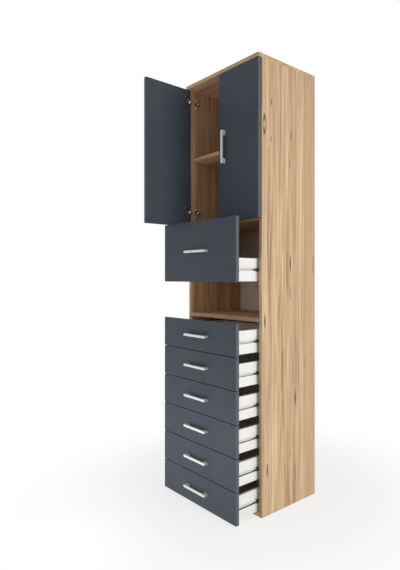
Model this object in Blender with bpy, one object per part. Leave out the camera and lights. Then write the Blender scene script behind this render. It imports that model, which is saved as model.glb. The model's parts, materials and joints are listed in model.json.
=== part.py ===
"""Tall narrow cupboard: two doors at the top, one deep drawer, an open niche and six shallow drawers.

Metres, +Z up, the front faces -Y. The origin is on the floor at the centre of the carcass footprint.
The cupboard stands as photographed: left door open, right door closed, all seven drawers pulled out.
"""

from math import asin, cos, pi, radians, sin

import bmesh
import bpy
from mathutils import Matrix, Vector

# Whole cupboard
CABINET_WIDTH = 0.485
CABINET_HEIGHT = 1.850
CARCASS_DEPTH = 0.331
BOARD_THICKNESS = 0.016
EDGE_ROUND = 0.0006
EDGE_ROUND_STEPS = 2
FIT_GAP = 0.0003
MERGE_DISTANCE = 0.000003
SHARP_ANGLE_DEGREES = 30

# Back panel, in grooves of the sides, the top and the bottom
BACK_THICKNESS = 0.003
BACK_INSET = 0.015
GROOVE_DEPTH = 0.007

# Fronts, which lap over the carcass edges and lie under the top panel
FRONT_THICKNESS = 0.016
FRONT_STANDOFF = 0.003
FRONT_SIDE_REVEAL = 0.001
FRONT_GAP = 0.003
DOOR_TOP_GAP = 0.003
DRAWER_LAP = 0.002
DIVIDER_LAP = 0.003
SMALL_DRAWER_COUNT = 6
SMALL_FRONT_HEIGHT = 0.125
BIG_FRONT_HEIGHT = 0.253
NICHE_HEIGHT = 0.146

# Adjustable shelf behind the doors
SHELF_RISE = 0.294
SHELF_SETBACK = 0.008
SHELF_SIDE_CLEARANCE = 0.0016
SHELF_REAR_CLEARANCE = 0.004
PIN_RADIUS = 0.0025
PIN_COLLAR_RADIUS = 0.0040
PIN_COLLAR_THICKNESS = 0.0010
PIN_REACH = 0.0085
PIN_HOLE_DEPTH = 0.008
PIN_FRONT_DISTANCE = 0.048
PIN_REAR_DISTANCE = 0.048
PIN_ROW_STEP = 0.032
PIN_SIDES = 16

# Drawer boxes, all alike
DRAWER_OPENING = 0.118
BOX_SIDE_HEIGHT = 0.092
BOX_WALL = 0.012
BOX_RISE = 0.003
BOX_REAR_CLEARANCE = 0.016
BOX_BOTTOM_THICKNESS = 0.003
BOX_BOTTOM_RISE = 0.010
BOX_BOTTOM_TONGUE = 0.004

# Ball runners: a channel on the cupboard side, a rail with its ball cage on the drawer side
RUNNER_SPACE = 0.0125
RUNNER_HEIGHT = 0.017
RUNNER_STEEL = 0.0012
RUNNER_CHANNEL_DEPTH = 0.010
RUNNER_LIP = 0.0013
RUNNER_SETBACK = 0.002
RUNNER_REAR_CLEARANCE = 0.010
RAIL_HEIGHT = 0.010
RAIL_REACH = 0.010
CAGE_REACH = 0.012

# Bow handles
HANDLE_LENGTH = 0.140
HANDLE_FOOT_LENGTH = 0.020
HANDLE_PROJECTION = 0.020
HANDLE_BAR_DEPTH = 0.0065
HANDLE_BAR_HEIGHT = 0.010
HANDLE_CORNER_RADIUS = 0.002
HANDLE_INNER_RADIUS = 0.006
HANDLE_EDGE_ROUND = 0.0012
HANDLE_ARC_STEPS = 4
DOOR_HANDLE_EDGE_DISTANCE = 0.035

# Concealed cup hinges, two on each door
DOOR_OPEN_DEGREES = 90.0
HINGE_BELOW_DOOR_TOP = 0.056
HINGE_ABOVE_DOOR_BOTTOM = 0.065
HINGE_PIVOT_INSET = 0.009
CUP_EDGE_DISTANCE = 0.003
CUP_HOLE_RADIUS = 0.0175
CUP_HOLE_SKIN = 0.002
CUP_WALL = 0.0006
CUP_FLOOR = 0.0005
CUP_FLANGE_RADIUS = 0.0187
CUP_FLANGE_THICKNESS = 0.0005
CUP_EAR_SPAN = 0.060
CUP_EAR_WIDTH = 0.013
CUP_EAR_OFFSET = 0.006
CUP_EAR_ROUND = 0.004
CUP_SEGMENTS = 32
KNUCKLE_RADIUS = 0.0016
KNUCKLE_CLEARANCE = 0.0005
PIN_SHAFT_RADIUS = 0.0008
PIN_SHAFT_REACH = 0.0014
CHEEK_THICKNESS = 0.0026
CHEEK_HALF_LENGTH = 0.0022
ARM_WIDTH = 0.012
ARM_THICKNESS = 0.002
ARM_DOOR_CLEARANCE = 0.0022
ARM_BEND_RADIUS = 0.0055
ARM_BEND_STEPS = 6
ARM_RISER_START = 0.015
ARM_RISER_SLOPE = 0.005
ARM_RISER_LENGTH = 0.031
PLATE_THICKNESS = 0.0025
PLATE_SCREW_LINE = 0.028
PLATE_LENGTH = 0.034
PLATE_HEIGHT = 0.019
WING_SPAN = 0.045
WING_WIDTH = 0.012
WING_ROUND = 0.0055
PLATE_ROUND = 0.003
PLATE_HOLE_SPACING = 0.032
PLATE_HOLE_RADIUS = 0.0026
ARM_SLOT_START = 0.003
ARM_SLOT_LENGTH = 0.011
ARM_SLOT_WIDTH = 0.0042
ARM_SCREW_RADIUS = 0.0033
ARM_SCREW_DEPTH = 0.0016
SMALL_HOLE_SIDES = 12

# How far a cutter runs past the faces that it opens
CUT_OVERRUN = 0.001

# Places worked out from the sizes above
SIDE_IN_X = CABINET_WIDTH / 2 - BOARD_THICKNESS
CARCASS_FRONT_Y = -CARCASS_DEPTH / 2
CARCASS_REAR_Y = CARCASS_DEPTH / 2
BACK_REAR_Y = CARCASS_REAR_Y - BACK_INSET
BACK_FRONT_Y = BACK_REAR_Y - BACK_THICKNESS
INSIDE_REAR_Y = BACK_FRONT_Y - FIT_GAP
FRONT_IN_Y = CARCASS_FRONT_Y - FRONT_STANDOFF
FRONT_OUT_Y = FRONT_IN_Y - FRONT_THICKNESS
TOP_UNDER_Z = CABINET_HEIGHT - BOARD_THICKNESS
FRONT_WIDTH = CABINET_WIDTH - 2 * FRONT_SIDE_REVEAL
DOOR_WIDTH = (FRONT_WIDTH - FRONT_GAP) / 2

SMALL_PITCH = SMALL_FRONT_HEIGHT + FRONT_GAP
LOWEST_FRONT_Z = BOARD_THICKNESS - DRAWER_LAP
SMALL_STACK_TOP_Z = LOWEST_FRONT_Z + SMALL_DRAWER_COUNT * SMALL_PITCH - FRONT_GAP
NICHE_SHELF_Z = SMALL_STACK_TOP_Z - DRAWER_LAP
NICHE_FLOOR_Z = NICHE_SHELF_Z + BOARD_THICKNESS
BIG_FRONT_Z = NICHE_FLOOR_Z + NICHE_HEIGHT
BIG_FRONT_TOP_Z = BIG_FRONT_Z + BIG_FRONT_HEIGHT
DIVIDER_Z = BIG_FRONT_TOP_Z - DIVIDER_LAP
DIVIDER_TOP_Z = DIVIDER_Z + BOARD_THICKNESS
DOOR_BOTTOM_Z = BIG_FRONT_TOP_Z + FRONT_GAP
DOOR_TOP_Z = TOP_UNDER_Z - DOOR_TOP_GAP
SHELF_Z = DIVIDER_TOP_Z + SHELF_RISE

BOX_WIDTH = 2 * (SIDE_IN_X - RUNNER_SPACE)
BOX_LENGTH = INSIDE_REAR_Y - FRONT_IN_Y - BOX_REAR_CLEARANCE
RUNNER_LENGTH = INSIDE_REAR_Y - CARCASS_FRONT_Y - RUNNER_SETBACK - RUNNER_REAR_CLEARANCE
RUNNER_MID_RISE = BOX_RISE + BOX_SIDE_HEIGHT / 2

CUP_HOLE_DEPTH = FRONT_THICKNESS - CUP_HOLE_SKIN
CUP_DEPTH = CUP_HOLE_DEPTH - FIT_GAP
CUP_RADIUS = CUP_HOLE_RADIUS - FIT_GAP
CUP_INNER_RADIUS = CUP_RADIUS - CUP_WALL
CUP_INNER_DEPTH = CUP_DEPTH - CUP_FLOOR
PIVOT_DEPTH = CUP_INNER_DEPTH - KNUCKLE_CLEARANCE - KNUCKLE_RADIUS
PIVOT_Y = FRONT_IN_Y - PIVOT_DEPTH
PIVOT_X = CABINET_WIDTH / 2 - HINGE_PIVOT_INSET
PIVOT_TO_DOOR_EDGE = HINGE_PIVOT_INSET - FRONT_SIDE_REVEAL
PIVOT_TO_CUP = CUP_EDGE_DISTANCE + CUP_HOLE_RADIUS - PIVOT_TO_DOOR_EDGE
PIVOT_TO_CARCASS = CARCASS_FRONT_Y - PIVOT_Y
PIVOT_TO_SIDE = BOARD_THICKNESS - HINGE_PIVOT_INSET
HINGE_HEIGHTS = {
    "upper": DOOR_TOP_Z - HINGE_BELOW_DOOR_TOP,
    "lower": DOOR_BOTTOM_Z + HINGE_ABOVE_DOOR_BOTTOM,
}
LEFT, RIGHT = -1, 1
SIDE_NAMES = {LEFT: "left", RIGHT: "right"}


def clear_scene():
    for obj in list(bpy.data.objects):
        bpy.data.objects.remove(obj, do_unlink=True)


def make_material(name, colour, roughness, metallic=0.0):
    """A Principled BSDF of one linear colour."""
    material = bpy.data.materials.new(name)
    material.use_nodes = True
    shader = material.node_tree.nodes["Principled BSDF"]
    shader.inputs["Base Color"].default_value = (*colour, 1.0)
    shader.inputs["Roughness"].default_value = roughness
    shader.inputs["Metallic"].default_value = metallic
    material.diffuse_color = (*colour, 1.0)
    return material


def mesh_from(bm, name):
    """Turn a bmesh into a mesh whose faces point out, shaded smooth with sharp edges kept."""
    bmesh.ops.remove_doubles(bm, verts=bm.verts, dist=MERGE_DISTANCE)
    bmesh.ops.recalc_face_normals(bm, faces=bm.faces)
    mesh = bpy.data.meshes.new(name)
    bm.to_mesh(mesh)
    bm.free()
    mesh.shade_smooth()
    mesh.set_sharp_from_angle(angle=radians(SHARP_ANGLE_DEGREES))
    return mesh


def block(low, high, round_radius=0.0):
    """A rectangular board between two corners, with all its edges rounded if a radius is given."""
    bm = bmesh.new()
    bmesh.ops.create_cube(bm, size=1.0)
    size = Vector(high) - Vector(low)
    bmesh.ops.scale(bm, vec=size, verts=bm.verts)
    bmesh.ops.translate(bm, vec=(Vector(low) + Vector(high)) / 2, verts=bm.verts)
    if round_radius:
        bmesh.ops.bevel(bm, geom=bm.edges[:], offset=round_radius, segments=EDGE_ROUND_STEPS,
                        profile=0.5, affect="EDGES")
    return mesh_from(bm, "block")


def prism(outline, low, high, axis="Z"):
    """Extrude a closed outline from low to high along an axis.

    The outline's two coordinates are (x, y) for Z, (x, z) for Y and (y, z) for X.
    """
    lift = {
        "Z": lambda a, b, c: (a, b, c),
        "Y": lambda a, b, c: (a, c, b),
        "X": lambda a, b, c: (c, a, b),
    }[axis]
    bm = bmesh.new()
    verts = [bm.verts.new(lift(a, b, low)) for a, b in outline]
    face = bm.faces.new(verts)
    pushed = bmesh.ops.extrude_face_region(bm, geom=[face])
    moved = [item for item in pushed["geom"] if isinstance(item, bmesh.types.BMVert)]
    step = Vector(lift(0.0, 0.0, high)) - Vector(lift(0.0, 0.0, low))
    bmesh.ops.translate(bm, vec=step, verts=moved)
    return mesh_from(bm, "prism")


def rod(radius, start, end, segments, axis="Z"):
    """A cylinder between two points that lie along one axis."""
    start, end = Vector(start), Vector(end)
    turn = {
        "Z": Matrix.Identity(4),
        "Y": Matrix.Rotation(pi / 2, 4, "X"),
        "X": Matrix.Rotation(pi / 2, 4, "Y"),
    }[axis]
    bm = bmesh.new()
    bmesh.ops.create_cone(bm, cap_ends=True, segments=segments, radius1=radius, radius2=radius,
                          depth=(end - start).length, matrix=Matrix.Translation((start + end) / 2) @ turn)
    return mesh_from(bm, "rod")


def lathe(profile, segments):
    """Turn a closed profile of (radius, x) points a full circle about the X axis."""
    bm = bmesh.new()
    verts = [bm.verts.new((x, 0.0, radius)) for radius, x in profile]
    edges = [bm.edges.new(pair) for pair in zip(verts, verts[1:])]
    bmesh.ops.spin(bm, geom=verts + edges, cent=(0, 0, 0), axis=(1, 0, 0), angle=2 * pi,
                   steps=segments, use_merge=True)
    return mesh_from(bm, "lathe")


def arc(centre, radius, start, end, steps):
    """Points of an arc, its two ends included."""
    angles = [start + (end - start) * step / steps for step in range(steps + 1)]
    return [(centre[0] + radius * cos(a), centre[1] + radius * sin(a)) for a in angles]


def combine(base, *steps):
    """Apply Boolean steps such as ("DIFFERENCE", mesh) to a base mesh and give the joined mesh."""
    body = bpy.data.objects.new("body", base)
    bpy.context.scene.collection.objects.link(body)
    tools = []
    for operation, mesh in steps:
        tool = bpy.data.objects.new("tool", mesh)
        bpy.context.scene.collection.objects.link(tool)
        modifier = body.modifiers.new("cut", "BOOLEAN")
        modifier.operation = operation
        modifier.object = tool
        tools.append(tool)
    depsgraph = bpy.context.evaluated_depsgraph_get()
    result = bpy.data.meshes.new_from_object(body.evaluated_get(depsgraph))
    for obj in [body, *tools]:
        bpy.data.objects.remove(obj, do_unlink=True)
    bm = bmesh.new()
    bm.from_mesh(result)
    return mesh_from(bm, "joined")


def mirrored(mesh, side):
    """Pieces are drawn for the left side; the right side gets their mirror image in X."""
    if side == LEFT:
        return mesh
    bm = bmesh.new()
    bm.from_mesh(mesh)
    bmesh.ops.scale(bm, vec=(-1.0, 1.0, 1.0), verts=bm.verts)
    return mesh_from(bm, mesh.name)


def add(name, mesh, material, location=(0, 0, 0), parent=None):
    """Put a mesh into the scene as a named piece."""
    if not mesh.materials:
        mesh.materials.append(material)
    obj = bpy.data.objects.new(name, mesh)
    bpy.context.scene.collection.objects.link(obj)
    obj.location = location
    obj.parent = parent
    return obj


def add_empty(name, location, turn=0.0):
    """An empty that carries a moving body, on its joint's axis."""
    empty = bpy.data.objects.new(name, None)
    bpy.context.scene.collection.objects.link(empty)
    empty.location = location
    empty.rotation_euler = (0, 0, turn)
    return empty


# Carcass

def side_panel():
    """Left side panel: grooved for the back and bored for the shelf pins, X from outside to inside."""
    groove_front = BACK_FRONT_Y - FIT_GAP
    groove_rear = BACK_REAR_Y + FIT_GAP
    groove_x = BOARD_THICKNESS - GROOVE_DEPTH
    outline = [
        (EDGE_ROUND, CARCASS_FRONT_Y), (BOARD_THICKNESS - EDGE_ROUND, CARCASS_FRONT_Y),
        (BOARD_THICKNESS, CARCASS_FRONT_Y + EDGE_ROUND),
        (BOARD_THICKNESS, groove_front), (groove_x, groove_front),
        (groove_x, groove_rear), (BOARD_THICKNESS, groove_rear),
        (BOARD_THICKNESS, CARCASS_REAR_Y), (0.0, CARCASS_REAR_Y), (0.0, CARCASS_FRONT_Y + EDGE_ROUND),
    ]
    panel = prism(outline, 0.0, TOP_UNDER_Z - FIT_GAP)
    holes = []
    for y in pin_rows():
        for row in (-1, 0, 1):
            z = pin_height() + row * PIN_ROW_STEP
            start = (BOARD_THICKNESS - PIN_HOLE_DEPTH, y, z)
            end = (BOARD_THICKNESS + CUT_OVERRUN, y, z)
            holes.append(("DIFFERENCE", rod(PIN_RADIUS + FIT_GAP, start, end, PIN_SIDES, "X")))
    return combine(panel, *holes)


def top_panel():
    """Top panel over both sides, flush with the fronts, with a stopped groove for the back."""
    reach = CABINET_WIDTH / 2
    panel = block((-reach, FRONT_OUT_Y, TOP_UNDER_Z), (reach, CARCASS_REAR_Y, CABINET_HEIGHT), EDGE_ROUND)
    groove_reach = SIDE_IN_X + GROOVE_DEPTH
    groove = block((-groove_reach, BACK_FRONT_Y - FIT_GAP, TOP_UNDER_Z - CUT_OVERRUN),
                   (groove_reach, BACK_REAR_Y + FIT_GAP, TOP_UNDER_Z + GROOVE_DEPTH))
    return combine(panel, ("DIFFERENCE", groove))


def bottom_panel():
    """Bottom panel between the sides, on the floor, grooved for the back along its whole width."""
    groove_front = BACK_FRONT_Y - FIT_GAP
    groove_rear = BACK_REAR_Y + FIT_GAP
    groove_z = BOARD_THICKNESS - GROOVE_DEPTH
    outline = [
        (CARCASS_FRONT_Y, 0.0), (CARCASS_REAR_Y, 0.0), (CARCASS_REAR_Y, BOARD_THICKNESS),
        (groove_rear, BOARD_THICKNESS), (groove_rear, groove_z), (groove_front, groove_z),
        (groove_front, BOARD_THICKNESS), (CARCASS_FRONT_Y + EDGE_ROUND, BOARD_THICKNESS),
        (CARCASS_FRONT_Y, BOARD_THICKNESS - EDGE_ROUND),
    ]
    reach = SIDE_IN_X - FIT_GAP
    return prism(outline, -reach, reach, "X")


def fixed_shelf(z):
    """A fixed board between the sides, from their front edges to the back panel."""
    reach = SIDE_IN_X - FIT_GAP
    return block((-reach, CARCASS_FRONT_Y, z), (reach, INSIDE_REAR_Y, z + BOARD_THICKNESS), EDGE_ROUND)


def adjustable_shelf():
    reach = SIDE_IN_X - SHELF_SIDE_CLEARANCE
    return block((-reach, CARCASS_FRONT_Y + SHELF_SETBACK, SHELF_Z),
                 (reach, INSIDE_REAR_Y - SHELF_REAR_CLEARANCE, SHELF_Z + BOARD_THICKNESS), EDGE_ROUND)


def back_panel():
    reach = SIDE_IN_X + GROOVE_DEPTH - FIT_GAP
    low = BOARD_THICKNESS - GROOVE_DEPTH + FIT_GAP
    high = TOP_UNDER_Z + GROOVE_DEPTH - FIT_GAP
    return block((-reach, BACK_FRONT_Y, low), (reach, BACK_REAR_Y, high))


def pin_rows():
    """The two depths at which shelf pins stand."""
    return CARCASS_FRONT_Y + PIN_FRONT_DISTANCE, INSIDE_REAR_Y - PIN_REAR_DISTANCE


def pin_height():
    return SHELF_Z - FIT_GAP - PIN_RADIUS


def shelf_pin():
    """A peg with a collar, its axis along X, the collar's back face at x = 0."""
    inner = FIT_GAP - PIN_HOLE_DEPTH
    profile = [
        (0.0, inner), (PIN_RADIUS, inner), (PIN_RADIUS, FIT_GAP), (PIN_COLLAR_RADIUS, FIT_GAP),
        (PIN_COLLAR_RADIUS, FIT_GAP + PIN_COLLAR_THICKNESS), (PIN_RADIUS, FIT_GAP + PIN_COLLAR_THICKNESS),
        (PIN_RADIUS, PIN_REACH), (0.0, PIN_REACH),
    ]
    return lathe(profile, PIN_SIDES)


# Drawers

def runner_channel():
    """Cupboard half of a runner: a lipped channel on the left side, drawn about its middle height.

    X runs from the side panel's inner face towards the drawer.
    """
    outer = RUNNER_HEIGHT / 2
    inner = outer - RUNNER_STEEL
    lip = inner - RUNNER_LIP
    back = FIT_GAP
    web = back + RUNNER_STEEL
    mouth = back + RUNNER_CHANNEL_DEPTH
    fold = mouth - RUNNER_STEEL
    upper = [(back, outer), (mouth, outer), (mouth, lip), (fold, lip), (fold, inner), (web, inner)]
    lower = [(x, -z) for x, z in reversed(upper)]
    start = CARCASS_FRONT_Y + RUNNER_SETBACK
    return prism(upper + lower, start, start + RUNNER_LENGTH, "Y")


def drawer_box():
    """Box of sides, back and bottom with a rail and ball cage on each side, all one piece.

    Its origin is the middle of the drawer front's lower edge, on the front's inner face.
    """
    half = BOX_WIDTH / 2
    wall_in = half - BOX_WALL
    y0, y1 = FIT_GAP, FIT_GAP + BOX_LENGTH
    walls = prism([
        (-half, y0), (-wall_in, y0), (-wall_in, y1 - BOX_WALL), (wall_in, y1 - BOX_WALL),
        (wall_in, y0), (half, y0), (half, y1), (-half, y1),
    ], BOX_RISE, BOX_RISE + BOX_SIDE_HEIGHT)
    tongue = wall_in + BOX_BOTTOM_TONGUE
    floor_z = BOX_RISE + BOX_BOTTOM_RISE
    floor = block((-tongue, y0, floor_z),
                  (tongue, y1 - BOX_WALL + BOX_BOTTOM_TONGUE, floor_z + BOX_BOTTOM_THICKNESS))
    parts = [("UNION", floor)]
    for side in (LEFT, RIGHT):
        parts.append(("UNION", mirrored(drawer_rail(y0, y1), side)))
        parts.append(("UNION", mirrored(ball_cage(y1), side)))
    return combine(walls, *parts)


def drawer_rail(y0, y1):
    """The rail on the left wall of a box: a channel whose web is let into the wall."""
    outer = RAIL_HEIGHT / 2
    inner = outer - RUNNER_STEEL
    root = RUNNER_STEEL / 2 - BOX_WIDTH / 2
    web = -BOX_WIDTH / 2 - RUNNER_STEEL
    tip = -BOX_WIDTH / 2 - RAIL_REACH
    outline = [(root, outer), (tip, outer), (tip, inner), (web, inner)]
    outline += [(x, -z) for x, z in reversed(outline)]
    outline = [(x, z + RUNNER_MID_RISE) for x, z in outline]
    return prism(outline, y0, y1, "Y")


def ball_cage(y1):
    """The cage that fills the cupboard channel, from just outside the carcass to the rail's end."""
    panel = -BOX_WIDTH / 2 - RUNNER_SPACE
    near = panel + FIT_GAP + RUNNER_CHANNEL_DEPTH - RUNNER_STEEL - FIT_GAP
    far = panel + FIT_GAP + RUNNER_STEEL + FIT_GAP
    half = RUNNER_HEIGHT / 2 - RUNNER_STEEL - FIT_GAP
    y0 = DRAWER_OPENING + FRONT_STANDOFF - CAGE_REACH
    return block((far, y0, RUNNER_MID_RISE - half), (near, y1, RUNNER_MID_RISE + half))


def front_panel(height):
    """A drawer front; its origin is the middle of its lower edge, on its inner face."""
    half = FRONT_WIDTH / 2
    return block((-half, -FRONT_THICKNESS, 0.0), (half, 0.0, height), EDGE_ROUND)


def bow_handle():
    """A bow handle along X, its feet on y = 0 and its bar towards -Y, cut from a rounded U outline."""
    half = HANDLE_LENGTH / 2
    inner = half - HANDLE_FOOT_LENGTH
    foot = -FIT_GAP
    face = -HANDLE_PROJECTION
    bar_back = face + HANDLE_BAR_DEPTH
    r, q = HANDLE_CORNER_RADIUS, HANDLE_INNER_RADIUS
    right = [
        (inner, foot), (half, foot),
        *reversed(arc((half - r, face + r), r, -pi / 2, 0.0, HANDLE_ARC_STEPS)),
    ]
    under = arc((inner - q, bar_back + q), q, -pi / 2, 0.0, HANDLE_ARC_STEPS)
    left = [(-x, y) for x, y in reversed(right)]
    left_under = [(-x, y) for x, y in reversed(under)]
    outline = right + left + left_under + under
    height = HANDLE_BAR_HEIGHT / 2
    mesh = prism(outline, -height, height)
    bm = bmesh.new()
    bm.from_mesh(mesh)
    rims = [edge for edge in bm.edges
            if abs(edge.verts[0].co.z - edge.verts[1].co.z) < FIT_GAP
            and max(vert.co.y for vert in edge.verts) < foot - FIT_GAP]
    bmesh.ops.bevel(bm, geom=rims, offset=HANDLE_EDGE_ROUND, segments=EDGE_ROUND_STEPS,
                    profile=0.5, affect="EDGES")
    return mesh_from(bm, "handle")


# Doors and hinges, drawn with the pivot at the origin, the door closed, X towards the cupboard's middle

def door_panel(side):
    """A door with the blind holes of its two hinge cups."""
    near = -PIVOT_TO_DOOR_EDGE
    panel = block((near, PIVOT_DEPTH - FRONT_THICKNESS, DOOR_BOTTOM_Z),
                  (near + DOOR_WIDTH, PIVOT_DEPTH, DOOR_TOP_Z), EDGE_ROUND)
    holes = []
    for z in HINGE_HEIGHTS.values():
        start = (PIVOT_TO_CUP, PIVOT_DEPTH - CUP_HOLE_DEPTH, z)
        end = (PIVOT_TO_CUP, PIVOT_DEPTH + CUT_OVERRUN, z)
        holes.append(("DIFFERENCE", rod(CUP_HOLE_RADIUS, start, end, CUP_SEGMENTS, "Y")))
    return mirrored(combine(panel, *holes), side)


def hinge_cup(side):
    """The cup that is pressed into the door: flange with ears, bowl, and two cheeks bored for the pin."""
    face = PIVOT_DEPTH + FIT_GAP
    top = face + CUP_FLANGE_THICKNESS
    bottom = PIVOT_DEPTH - CUP_DEPTH
    inner_floor = PIVOT_DEPTH - CUP_INNER_DEPTH
    bowl = rod(CUP_RADIUS, (PIVOT_TO_CUP, bottom, 0), (PIVOT_TO_CUP, top, 0), CUP_SEGMENTS, "Y")
    flange = rod(CUP_FLANGE_RADIUS, (PIVOT_TO_CUP, face, 0), (PIVOT_TO_CUP, top, 0), CUP_SEGMENTS, "Y")
    ear_x = PIVOT_TO_CUP + CUP_EAR_OFFSET
    ears = prism(rounded_rectangle(ear_x, 0.0, CUP_EAR_WIDTH, CUP_EAR_SPAN, CUP_EAR_ROUND), face, top, "Y")
    hollow = rod(CUP_INNER_RADIUS, (PIVOT_TO_CUP, inner_floor, 0), (PIVOT_TO_CUP, top + CUT_OVERRUN, 0),
                 CUP_SEGMENTS, "Y")
    cheek_in = ARM_WIDTH / 2 + FIT_GAP
    cheek_out = cheek_in + CHEEK_THICKNESS
    cheeks = [block((-CHEEK_HALF_LENGTH, inner_floor - CUP_FLOOR / 2, sign_low),
                    (CHEEK_HALF_LENGTH, CHEEK_HALF_LENGTH, sign_high))
              for sign_low, sign_high in ((cheek_in, cheek_out), (-cheek_out, -cheek_in))]
    bore_reach = cheek_in + PIN_SHAFT_REACH + FIT_GAP
    bore = rod(PIN_SHAFT_RADIUS + FIT_GAP, (0, 0, -bore_reach), (0, 0, bore_reach), SMALL_HOLE_SIDES)
    cup = combine(bowl, ("UNION", flange), ("UNION", ears), ("DIFFERENCE", hollow),
                  ("UNION", cheeks[0]), ("UNION", cheeks[1]), ("DIFFERENCE", bore))
    return mirrored(cup, side)


def rounded_rectangle(centre_a, centre_b, size_a, size_b, radius):
    half_a, half_b = size_a / 2 - radius, size_b / 2 - radius
    corners = ((1, 1), (-1, 1), (-1, -1), (1, -1))
    points = []
    for index, (a, b) in enumerate(corners):
        centre = (centre_a + a * half_a, centre_b + b * half_b)
        points += arc(centre, radius, index * pi / 2, (index + 1) * pi / 2, ARM_BEND_STEPS)
    return points


def hinge_arm(side):
    """The fixed arm: knuckle and pin in the cup, a bent leg, and the plate on the side panel."""
    leg_in = PIVOT_DEPTH + ARM_DOOR_CLEARANCE
    leg_out = leg_in + ARM_THICKNESS
    nose_top = ARM_THICKNESS - KNUCKLE_RADIUS
    seat = PIVOT_TO_SIDE + FIT_GAP
    riser_start = PIVOT_TO_CARCASS + ARM_RISER_START
    riser_end = riser_start + ARM_RISER_LENGTH
    meet = asin(nose_top / KNUCKLE_RADIUS)
    knuckle = arc((0.0, 0.0), KNUCKLE_RADIUS, 3 * pi / 2, meet, 2 * ARM_BEND_STEPS)
    bend_centre = (leg_out - ARM_BEND_RADIUS, ARM_BEND_RADIUS - KNUCKLE_RADIUS)
    bend = arc(bend_centre, ARM_BEND_RADIUS, 0.0, -pi / 2, ARM_BEND_STEPS)
    inner_bend = arc(bend_centre, ARM_BEND_RADIUS - ARM_THICKNESS, -pi / 2, 0.0, ARM_BEND_STEPS)
    outline = [
        *knuckle, *inner_bend, (leg_in, riser_start), (seat, riser_start + ARM_RISER_SLOPE),
        (seat, riser_end), (leg_out, riser_end), *bend,
    ]
    half = ARM_WIDTH / 2
    body = prism(outline, -half, half)
    shaft_reach = half + FIT_GAP + PIN_SHAFT_REACH
    shaft = rod(PIN_SHAFT_RADIUS, (0, 0, -shaft_reach), (0, 0, shaft_reach), SMALL_HOLE_SIDES)
    slot_low = PIVOT_TO_CARCASS + ARM_SLOT_START
    slot_mid = slot_low + ARM_SLOT_LENGTH / 2
    slot = prism(rounded_rectangle(slot_mid, 0.0, ARM_SLOT_LENGTH, ARM_SLOT_WIDTH,
                                   ARM_SLOT_WIDTH / 2 - FIT_GAP),
                 leg_in - CUT_OVERRUN, leg_out + CUT_OVERRUN, "X")
    screw_y = PIVOT_TO_CARCASS + PLATE_SCREW_LINE
    recess = rod(ARM_SCREW_RADIUS, (leg_out - ARM_SCREW_DEPTH, screw_y, 0), (leg_out + CUT_OVERRUN, screw_y, 0),
                 SMALL_HOLE_SIDES, "X")
    plate = prism(rounded_rectangle(screw_y, 0.0, PLATE_LENGTH, PLATE_HEIGHT, PLATE_ROUND),
                  seat, seat + PLATE_THICKNESS, "X")
    wings = prism(rounded_rectangle(screw_y, 0.0, WING_WIDTH, WING_SPAN, WING_ROUND),
                  seat, seat + PLATE_THICKNESS, "X")
    steps = [("UNION", shaft), ("UNION", plate), ("UNION", wings), ("DIFFERENCE", slot),
             ("DIFFERENCE", recess)]
    for sign in (-1, 1):
        z = sign * PLATE_HOLE_SPACING / 2
        hole = rod(PLATE_HOLE_RADIUS, (seat - CUT_OVERRUN, screw_y, z),
                   (seat + PLATE_THICKNESS + CUT_OVERRUN, screw_y, z), SMALL_HOLE_SIDES, "X")
        steps.append(("DIFFERENCE", hole))
    return mirrored(combine(body, *steps), side)


# Assembly

def add_carcass(wood, board_white, zinc):
    left = side_panel()
    for side in (LEFT, RIGHT):
        add(f"side_panel_{SIDE_NAMES[side]}", mirrored(left, side), wood,
            (side * CABINET_WIDTH / 2, 0, 0))
    add("top_panel", top_panel(), wood)
    add("bottom_panel", bottom_panel(), wood)
    add("divider_panel", fixed_shelf(DIVIDER_Z), wood)
    add("niche_shelf", fixed_shelf(NICHE_SHELF_Z), wood)
    add("adjustable_shelf", adjustable_shelf(), wood)
    add("back_panel", back_panel(), board_white)
    pin = shelf_pin()
    for side in (LEFT, RIGHT):
        for place, y in zip(("front", "rear"), pin_rows()):
            add(f"shelf_pin_{SIDE_NAMES[side]}_{place}", mirrored(pin, side), zinc,
                (side * SIDE_IN_X, y, pin_height()))


def add_door(side, front, nickel, zinc, dark_zinc):
    """One door on its pivot; the left one stands open."""
    turn = -radians(DOOR_OPEN_DEGREES) if side == LEFT else 0.0
    word = SIDE_NAMES[side]
    pivot = add_empty(f"door_{word}_pivot", (side * PIVOT_X, PIVOT_Y, 0), turn)
    add(f"door_{word}", door_panel(side), front, parent=pivot)
    for level, z in HINGE_HEIGHTS.items():
        add(f"hinge_cup_{word}_{level}", hinge_cup(side), dark_zinc, (0, 0, z), pivot)
        add(f"hinge_arm_{word}_{level}", hinge_arm(side), zinc, (side * PIVOT_X, PIVOT_Y, z))
    handle_x = DOOR_WIDTH - DOOR_HANDLE_EDGE_DISTANCE - PIVOT_TO_DOOR_EDGE
    handle = add(f"door_handle_{word}", bow_handle(), nickel,
                 (-side * handle_x, PIVOT_DEPTH - FRONT_THICKNESS, (DOOR_TOP_Z + DOOR_BOTTOM_Z) / 2), pivot)
    handle.rotation_euler = (0, pi / 2, 0)


def add_drawer(word, front_z, front_height, box, front, white, nickel, steel):
    """One drawer, pulled out, with its two runner channels."""
    slide = add_empty(f"drawer_{word}_slide", (0, FRONT_IN_Y - DRAWER_OPENING, front_z))
    add(f"drawer_{word}_front", front_panel(front_height), front, parent=slide)
    add(f"drawer_{word}_box", box, white, parent=slide)
    add(f"drawer_{word}_handle", bow_handle(), nickel, (0, -FRONT_THICKNESS, front_height / 2), slide)
    channel = runner_channel()
    for side in (LEFT, RIGHT):
        add(f"runner_{word}_{SIDE_NAMES[side]}", mirrored(channel, side), steel,
            (side * SIDE_IN_X, 0, front_z + RUNNER_MID_RISE))


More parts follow.
